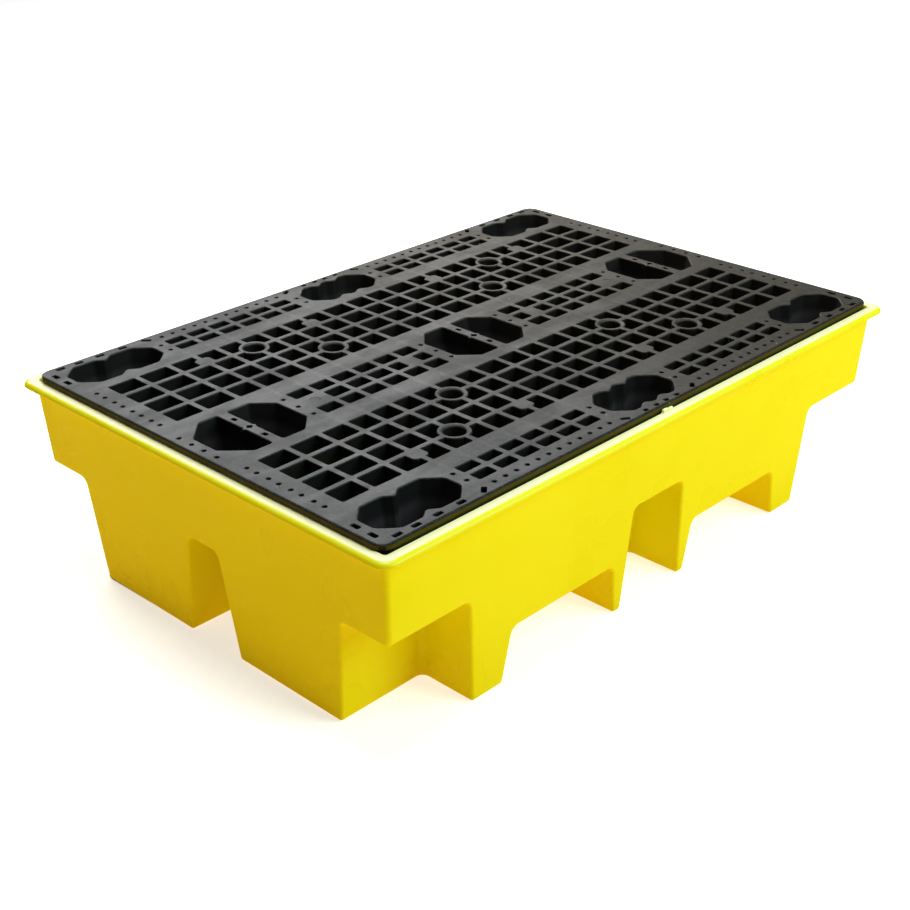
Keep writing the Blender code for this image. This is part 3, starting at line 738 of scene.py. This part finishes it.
def outer_body():
    """The sump's outside as a solid: tapered walls, a fillet and a rim with a full round edge."""
    shell = Shell()
    underside = RIM_TOP - RIM_THICKNESS
    rings = [shell.ring(sump_outline(sump_half(0.0), WALL_CORNER), 0.0)]
    rings.append(shell.ring(sump_outline(sump_half(underside / 2), WALL_CORNER), underside / 2))
    wall_half = sump_half(underside - UNDER_RIM_FILLET)
    for angle in quarter_turn(4):
        reach = UNDER_RIM_FILLET * (1 - math.cos(angle))
        outline = sump_outline(wall_half + Vector((reach, reach)), WALL_CORNER)
        rings.append(shell.ring(outline, underside - UNDER_RIM_FILLET * (1 - math.sin(angle))))
    rim = rectangle(SUMP_LOW.x, SUMP_HIGH.x, SUMP_LOW.y, SUMP_HIGH.y, RIM_CORNER, LARGE_ARC_STEPS)
    for angle in quarter_turn(3):
        inset = RIM_UNDER_ROUNDING * (1 - math.sin(angle))
        rings.append(shell.ring(grown(rim, -inset), underside + RIM_UNDER_ROUNDING * (1 - math.cos(angle))))
    for angle in quarter_turn(7):
        inset = RIM_TOP_ROUNDING.x * (1 - math.cos(angle))
        rings.append(shell.ring(grown(rim, -inset), RIM_TOP - RIM_TOP_ROUNDING.y * (1 - math.sin(angle))))
    shell.wall(*rings)
    shell.sheet(rings[0])
    shell.sheet(rings[-1])
    return shell.build("sump_body")


def tapered_box(name, low, high, z_low, z_high, radius):
    """A box from its floor rectangle to its ceiling rectangle, with rounded edges."""
    bm = bmesh.new()
    box = bmesh.ops.create_cube(bm, size=2.0)
    for vert in box["verts"]:
        near, far = low if vert.co.z < 0 else high
        vert.co.x = near.x if vert.co.x < 0 else far.x
        vert.co.y = near.y if vert.co.y < 0 else far.y
        vert.co.z = z_low if vert.co.z < 0 else z_high
    mesh = bpy.data.meshes.new(name)
    bm.to_mesh(mesh)
    bm.free()
    made = linked(name, mesh)
    round_edges(made, radius, 5)
    return made


def round_edges(target, radius, segments):
    bevel = target.modifiers.new("rounded edges", "BEVEL")
    bevel.width = radius
    bevel.segments = segments
    bevel.limit_method = "ANGLE"
    bevel.angle_limit = math.radians(BEVEL_ANGLE)
    bevel.use_clamp_overlap = False
    bevel.miter_outer = "MITER_SHARP"


def hollow_boxes(name, grow, radius):
    """The spaces under the sump, or, with grow, the same spaces with the wall around them."""
    made = []
    for number, (low, high, ceiling) in enumerate(hollow_places()):
        margin = Vector((grow, grow))
        low = (low[0] - margin, low[1] + margin)
        high = (high[0] - margin, high[1] + margin)
        drop = OVERCUT / ceiling
        low = (low[0] + (low[0] - high[0]) * drop, low[1] + (low[1] - high[1]) * drop)
        made.append(tapered_box(f"{name}_{number}", low, high, -OVERCUT, ceiling + grow, radius))
    return made


def hollow_places():
    """Each space as its floor rectangle, ceiling rectangle and ceiling height."""
    corners = (CORNER_FLOOR, CORNER_CEILING)
    places = []
    for sign in (-1, 1):
        fork = [span((x0 * MM, -BEYOND), (x1 * MM, BEYOND), sign, 1) for x0, x1 in FORK_SPANS]
        places.append((*fork, FORK_CEILING))
        side = [span((-half * MM, near.y), (half * MM, BEYOND), 1, sign)
                for half, near in zip(SIDE_SLOT_HALVES, corners)]
        places.append((*side, PAD_UNDERSIDE))
        end = [span((near.x, -half * MM), (BEYOND, half * MM), sign, 1)
               for half, near in zip(END_SLOT_HALVES, corners)]
        places.append((*end, PAD_UNDERSIDE))
        for other in (-1, 1):
            corner = [span(near, (BEYOND, BEYOND), sign, other) for near in corners]
            places.append((*corner, PAD_UNDERSIDE))
    centre = [span((-x * MM, -y * MM), (x * MM, y * MM), 1, 1) for x, y in PEDESTAL_HALVES]
    places.append((*centre, PAD_UNDERSIDE))
    return places


def span(first, second, sign_x, sign_y):
    """The rectangle between two corners, mirrored by the signs."""
    xs = sorted((sign_x * first[0], sign_x * second[0]))
    ys = sorted((sign_y * first[1], sign_y * second[1]))
    return Vector((xs[0], ys[0])), Vector((xs[1], ys[1]))


def combine(target, other, operation):
    boolean = target.modifiers.new(f"{operation.lower()} {other.name}", "BOOLEAN")
    boolean.object = other
    boolean.operation = operation
    boolean.solver = "EXACT"


def baked(target, helpers):
    """Applies the target's modifiers and removes the helper objects that they used."""
    evaluated = target.evaluated_get(bpy.context.evaluated_depsgraph_get())
    mesh = bpy.data.meshes.new_from_object(evaluated)
    target.modifiers.clear()
    target.data = mesh
    for helper in helpers:
        bpy.data.objects.remove(helper, do_unlink=True)


def basin_space():
    """The space inside the sump: its walls, a rounded mouth, and a filleted floor."""
    shell = Shell()
    wall = Vector((WALL, WALL))
    corner = WALL_CORNER - WALL
    rings = []
    for angle in quarter_turn(4):
        inset = BASIN_FILLET * (1 - math.sin(angle))
        level = WALL + BASIN_FILLET * (1 - math.cos(angle))
        half = sump_half(level) - wall - Vector((inset, inset))
        rings.append(shell.ring(sump_outline(half, corner), level))
    lift = 0.1 * MM  # carries the flare's last ring just past the rim's top
    for angle in (math.radians(degrees) for degrees in range(0, 81, 16)):
        level = RIM_TOP - MOUTH_FLARE + MOUTH_FLARE * math.sin(angle)
        reach = MOUTH_FLARE * (1 - math.cos(angle))
        half = sump_half(level) - wall + Vector((reach, reach))
        rings.append(shell.ring(sump_outline(half, corner + reach), level + lift))
    rings.append(shell.ring(sump_outline(half, corner), RIM_TOP + OVERCUT))
    shell.wall(*rings)
    shell.sheet(rings[0])
    shell.sheet(rings[-1])
    return shell.build("basin_space")


def nib_lump(name, x, y, length, top):
    """One rounded lump, with a foot that spreads inside the rim."""
    shell = Shell()
    foot = around(x, y, length + 2 * MM, NIB_WIDTH + 1 * MM, 2.4 * MM)
    rings = [shell.ring(foot, RIM_TOP - 3 * MM)]
    for angle in quarter_turn(4):
        inset = NIB_ROUNDING * (1 - math.cos(angle))
        outline = around(x, y, length - 2 * inset, NIB_WIDTH - 1.8 * inset, 2.3 * MM - inset * 0.8)
        rings.append(shell.ring(outline, top - NIB_ROUNDING * (1 - math.sin(angle))))
    shell.wall(*rings)
    shell.sheet(rings[0])
    shell.sheet(rings[-1])
    return shell.build(name)


def rim_nibs():
    """The worn locating nibs on the rim, beside the middle of the deck's long sides."""
    made = []
    for side in (-1, 1):
        y = side * (DECK_HIGH.y + NIB_FROM_DECK + NIB_WIDTH / 2)
        for x, length, drop in NIB_PEAKS:
            made.append(nib_lump(f"nib_{len(made)}", x, y, length, NIB_TOP - drop))
    return made


def build_sump():
    sump = outer_body()
    hollows = hollow_boxes("hollow", 0.0, HOLLOW_FILLET)
    for hollow in hollows:
        combine(sump, hollow, "DIFFERENCE")
    round_edges(sump, EDGE_RADIUS, 5)
    baked(sump, hollows)
    basin = basin_space()
    bumps = hollow_boxes("bump", WALL, HOLLOW_FILLET)
    for bump in bumps:
        combine(basin, bump, "DIFFERENCE")
    round_edges(basin, BASIN_EDGE_RADIUS, 2)
    baked(basin, bumps)
    combine(sump, basin, "DIFFERENCE")
    nibs = rim_nibs()
    for nib in nibs:
        combine(sump, nib, "UNION")
    baked(sump, [basin, *nibs])
    sump.name = "moulded_sump"
    smooth_shading(sump)
    return sump


# Materials

def new_node(tree, kind, inputs=None, **settings):
    node = tree.nodes.new(kind)
    for name, value in settings.items():
        setattr(node, name, value)
    for name, value in (inputs or {}).items():
        if isinstance(value, bpy.types.NodeSocket):
            tree.links.new(value, node.inputs[name])
        else:
            node.inputs[name].default_value = value
    return node


def new_material(name):
    """A principled material, with its node tree, its shader and the object's own coordinates."""
    material = bpy.data.materials.new(name)
    material.use_nodes = True
    tree = material.node_tree
    place = new_node(tree, "ShaderNodeTexCoord").outputs["Object"]
    return material, tree, tree.nodes["Principled BSDF"], place


def noise(tree, place, scale, detail=2.0, stretch=(1.0, 1.0, 1.0)):
    """Soft random values round 0.5, in blobs about 1 / scale metres across."""
    stretched = new_node(tree, "ShaderNodeMapping", {"Vector": place, "Scale": stretch})
    inputs = {"Vector": stretched.outputs[0], "Scale": scale, "Detail": detail}
    return new_node(tree, "ShaderNodeTexNoise", inputs).outputs["Fac"]


def ranged(tree, value, low, high, out_low=0.0, out_high=1.0):
    """The value's range from low to high, smoothly turned into another range."""
    limits = {"Value": value, "From Min": low, "From Max": high, "To Min": out_low, "To Max": out_high}
    return new_node(tree, "ShaderNodeMapRange", limits, interpolation_type="SMOOTHSTEP").outputs["Result"]


def arithmetic(tree, operation, *values):
    return new_node(tree, "ShaderNodeMath", dict(enumerate(values)), operation=operation).outputs[0]


def axis(tree, place, letter):
    """One coordinate of a place, as X, Y or Z."""
    return new_node(tree, "ShaderNodeSeparateXYZ", {"Vector": place}).outputs[letter]


def mix_colours(tree, amount, first, second):
    """The first colour where the amount is nought, and the second where it is one."""
    node = new_node(tree, "ShaderNodeMix", data_type="RGBA")
    for socket, value in ((0, amount), (6, first), (7, second)):
        if isinstance(value, bpy.types.NodeSocket):
            tree.links.new(value, node.inputs[socket])
        else:
            node.inputs[socket].default_value = (*value, 1.0)
    return node.outputs[2]


def bumped(tree, height, distance, under=None):
    """A surface normal bent by a height field, on top of an earlier bend."""
    inputs = {"Height": height, "Distance": distance}
    if under:
        inputs["Normal"] = under
    return new_node(tree, "ShaderNodeBump", inputs).outputs["Normal"]


def sink_marks(tree, place):
    """Faint hollows in the plain bands, where the ribs run on beneath the plate."""
    along = arithmetic(tree, "ABSOLUTE", axis(tree, place, "X"))
    across = arithmetic(tree, "ABSOLUTE", axis(tree, place, "Y"))
    first_edge, second_edge = (column_spans()[column][0] for column in NARROW_COLUMNS[:2])
    first_rib = first_edge - RIB / 2
    pitch = second_edge - first_edge
    from_rib = arithmetic(tree, "PINGPONG", arithmetic(tree, "SUBTRACT", along, first_rib), pitch / 2)
    line = ranged(tree, from_rib, 1 * MM, RIB * 0.75, 1.0, 0.0)
    last_rib = first_rib + pitch * len(NARROW_COLUMNS)
    line = arithmetic(tree, "MULTIPLY", line, ranged(tree, along, last_rib, last_rib + RIB, 1.0, 0.0))
    bands = []
    for middle, height in PLAIN_BANDS:
        from_middle = arithmetic(tree, "ABSOLUTE", arithmetic(tree, "SUBTRACT", across, middle))
        bands.append(ranged(tree, from_middle, height / 2, height * 0.65, 1.0, 0.0))
    return arithmetic(tree, "MULTIPLY", line, arithmetic(tree, "MAXIMUM", *bands))


def skirt_mask(tree, place):
    """One on the deck's outer edge, and nothing further in. There the skirt gets the painted olive
    reflection of the yellow rim, and a duller gloss.
    """
    masks = []
    for letter, half in (("X", DECK_HIGH.x), ("Y", DECK_HIGH.y)):
        from_middle = arithmetic(tree, "ABSOLUTE", axis(tree, place, letter))
        masks.append(ranged(tree, from_middle, half - 4 * MM, half - 3 * MM))
    return arithmetic(tree, "MAXIMUM", *masks)


def black_top(tree, east, cloud, mottle, speckle):
    """The colour of the deck's top face, cooler in the west and warmer in the east."""
    base = mix_colours(tree, east, BLACK_COOL, BLACK_WARM)
    base = mix_colours(tree, ranged(tree, cloud, 0.35, 0.65, 0.0, 0.5), base, BLACK_GREY)
    base = mix_colours(tree, arithmetic(tree, "MULTIPLY", speckle, 0.7), base, BLACK_SPECKLE)
    return mix_colours(tree, arithmetic(tree, "MULTIPLY", mottle, 0.25), base, BLACK_SPECKLE)


def pale_specks(tree, place):
    """Small scattered dots, in drifts."""
    cells = new_node(tree, "ShaderNodeTexVoronoi", {"Vector": place, "Scale": 44.0})
    dots = ranged(tree, cells.outputs["Distance"], 0.035, 0.055, 1.0, 0.0)
    drifts = ranged(tree, noise(tree, place, 21.0), 0.53, 0.58)
    return arithmetic(tree, "MULTIPLY", dots, drifts)


def black_plastic():
    """Recycled black plastic: mottled, grainy, with flow streaks, sink marks and small pale specks.

    The top face is glossier than the cells, the legs and the skirt beside the yellow rim. The skirt is
    painted olive: a painted reflection of the yellow rim.
    """
    material, tree, shader, place = new_material("recycled_black_plastic")
    cloud = noise(tree, place, 6.0, 3.0)
    flow = noise(tree, place, 12.0, 5.0, (1.0, 3.0, 1.0))
    mottle = ranged(tree, noise(tree, place, 130.0, 3.0), 0.42, 0.62)
    speckle = ranged(tree, noise(tree, place, 430.0, 1.0), 0.54, 0.68)
    east = ranged(tree, axis(tree, place, "X"), -0.5, 0.6)
    sink = sink_marks(tree, place)
    skirt = skirt_mask(tree, place)

    height = axis(tree, place, "Z")
    on_top = ranged(tree, height, DECK_TOP - 4 * MM, DECK_TOP - 1.2 * MM)
    in_cells = ranged(tree, height, DECK_TOP - 40 * MM, DECK_TOP - 22 * MM)
    top = black_top(tree, east, cloud, mottle, speckle)
    inwards = mix_colours(tree, on_top, mix_colours(tree, in_cells, BLACK_IN_LEGS, BLACK_INSIDE), top)
    # The skirt below the top face gets the painted olive reflection of the yellow rim
    skirt_with_painted_reflection = mix_colours(tree, on_top, PAINTED_RIM_REFLECTION, top)
    base = mix_colours(tree, skirt, inwards, skirt_with_painted_reflection)
    base = mix_colours(tree, pale_specks(tree, place), base, PALE_SPECK)
    tree.links.new(base, shader.inputs["Base Color"])

    shiny = arithmetic(tree, "MINIMUM", on_top, arithmetic(tree, "SUBTRACT", 1.0, skirt))
    tree.links.new(ranged(tree, shiny, 0.0, 1.0, 0.12, 0.5), shader.inputs["Specular IOR Level"])
    browned = arithmetic(tree, "MULTIPLY", east, ranged(tree, cloud, 0.3, 0.6, 0.5, 1.0))
    tree.links.new(mix_colours(tree, browned, SHEEN_COOL, SHEEN_WARM), shader.inputs["Specular Tint"])
    rough = ranged(tree, arithmetic(tree, "ADD", cloud, flow), 0.8, 1.2, 0.46, 0.60)
    rough = arithmetic(tree, "ADD", rough, arithmetic(tree, "MULTIPLY", sink, -0.05))
    rough = arithmetic(tree, "ADD", rough, arithmetic(tree, "MULTIPLY", speckle, 0.08))
    tree.links.new(rough, shader.inputs["Roughness"])

    normal = bumped(tree, sink, -0.08 * MM)
    normal = bumped(tree, flow, 0.16 * MM, normal)
    normal = bumped(tree, mottle, 0.05 * MM, normal)
    normal = bumped(tree, noise(tree, place, 900.0, 2.0), 0.10 * MM, normal)
    tree.links.new(normal, shader.inputs["Normal"])
    return material


def yellow_polyethylene():
    """Rotomoulded yellow polyethylene: waxy, with soft waves and orange peel, and a painted highlight on
    the rim's top.
    """
    material, tree, shader, place = new_material("yellow_polyethylene")
    cloud = noise(tree, place, 4.0, 3.0)
    patches = noise(tree, place, 16.0, 0.0)
    base = mix_colours(tree, ranged(tree, cloud, 0.3, 0.7), YELLOW_DEEP, YELLOW_LEMON)
    base = mix_colours(tree, ranged(tree, patches, 0.35, 0.75, 0.0, 0.15), base, YELLOW_PALE)
    # Painted highlight: the rim's top and the nibs above it are painted pale, in place of the glare from
    # above
    painted_rim_highlight = ranged(tree, axis(tree, place, "Z"), RIM_TOP - 0.9 * MM, RIM_TOP - 0.03 * MM, 0.0, 0.9)
    base = mix_colours(tree, painted_rim_highlight, base, PAINTED_RIM_HIGHLIGHT)
    tree.links.new(base, shader.inputs["Base Color"])
    shader.inputs["Specular IOR Level"].default_value = 0.27
    rough = ranged(tree, arithmetic(tree, "ADD", cloud, patches), 0.8, 1.25, 0.27, 0.38)
    tree.links.new(rough, shader.inputs["Roughness"])
    normal = bumped(tree, noise(tree, place, 7.0, 1.0), 3 * MM)
    normal = bumped(tree, noise(tree, place, 45.0, 2.0), 0.25 * MM, normal)
    normal = bumped(tree, noise(tree, place, 420.0, 2.0), 0.04 * MM, normal)
    tree.links.new(normal, shader.inputs["Normal"])
    return material


def pale_floor():
    """White studio paper, seen brighter than it is, so that it fades to white away from the pallet."""
    material, tree, shader, place = new_material("pale_floor")
    seen = new_node(tree, "ShaderNodeLightPath").outputs["Is Camera Ray"]
    fibres = ranged(tree, noise(tree, place, 600.0, 3.0), 0.3, 0.7)
    paper = mix_colours(tree, fibres, (0.88, 0.88, 0.88), (0.92, 0.92, 0.92))
    tree.links.new(mix_colours(tree, seen, FLOOR_BOUNCE, paper), shader.inputs["Base Color"])
    shader.inputs["Roughness"].default_value = 0.9
    shader.inputs["Specular IOR Level"].default_value = 0.0
    tree.links.new(mix_colours(tree, seen, FLOOR_WARMTH, (1.0, 1.0, 1.0)), shader.inputs["Emission Color"])
    tree.links.new(ranged(tree, seen, 0.0, 1.0, FLOOR_FILL, FLOOR_GLOW), shader.inputs["Emission Strength"])
    return material


# Stage, lights and camera

def build_floor():
    bm = bmesh.new()
    bmesh.ops.create_grid(bm, x_segments=1, y_segments=1, size=FLOOR_HALF)
    mesh = bpy.data.meshes.new("floor")
    bm.to_mesh(mesh)
    bm.free()
    mesh.materials.append(pale_floor())
    floor = linked("floor", mesh)
    floor.location.z = -FLOOR_DROP


def direction(azimuth, elevation):
    """The unit vector from the pallet towards a light or the camera, from angles in degrees."""
    azimuth, elevation = math.radians(azimuth), math.radians(elevation)
    flat = math.cos(elevation)
    return Vector((flat * math.cos(azimuth), flat * math.sin(azimuth), math.sin(elevation)))


def add_light(name, azimuth, elevation, distance, size, power, colour):
    """A rectangular soft box that faces the pallet."""
    light = bpy.data.lights.new(name, "AREA")
    light.shape = "RECTANGLE"
    light.size, light.size_y = size
    light.energy = power
    light.color = colour
    lamp = linked(name, light)
    towards = direction(azimuth, elevation)
    lamp.location = towards * distance
    lamp.rotation_mode = "QUATERNION"
    lamp.rotation_quaternion = towards.to_track_quat("Z", "Y")


def build_world():
    world = bpy.data.worlds.new("studio")
    world.use_nodes = True
    background = world.node_tree.nodes["Background"]
    background.inputs["Color"].default_value = (*WORLD_COLOUR, 1.0)
    background.inputs["Strength"].default_value = WORLD_STRENGTH
    bpy.context.scene.world = world


def build_camera():
    lens = bpy.data.cameras.new("camera")
    lens.lens = CAMERA_LENS
    camera = linked("camera", lens)
    towards = direction(CAMERA_AZIMUTH, CAMERA_ELEVATION)
    roll = Quaternion((0, 0, 1), math.radians(CAMERA_ROLL))
    camera.location = CAMERA_AIM + towards * CAMERA_DISTANCE
    camera.rotation_mode = "QUATERNION"
    camera.rotation_quaternion = towards.to_track_quat("Z", "Y") @ roll
    bpy.context.scene.camera = camera


def dress(piece, body, material):
    """Gives a visible piece its material, and puts it in the place of its CAD body."""
    piece.data.materials.clear()
    piece.data.materials.append(material)
    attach(piece, body)
    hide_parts(body)


def main():
    dress(build_deck(), "deck", black_plastic())
    dress(build_sump(), "sump", yellow_polyethylene())
    build_floor()
    build_world()
    for name, settings in LIGHTS.items():
        add_light(name, *settings)
    build_camera()
    bpy.context.scene.view_settings.view_transform = "Standard"


main()
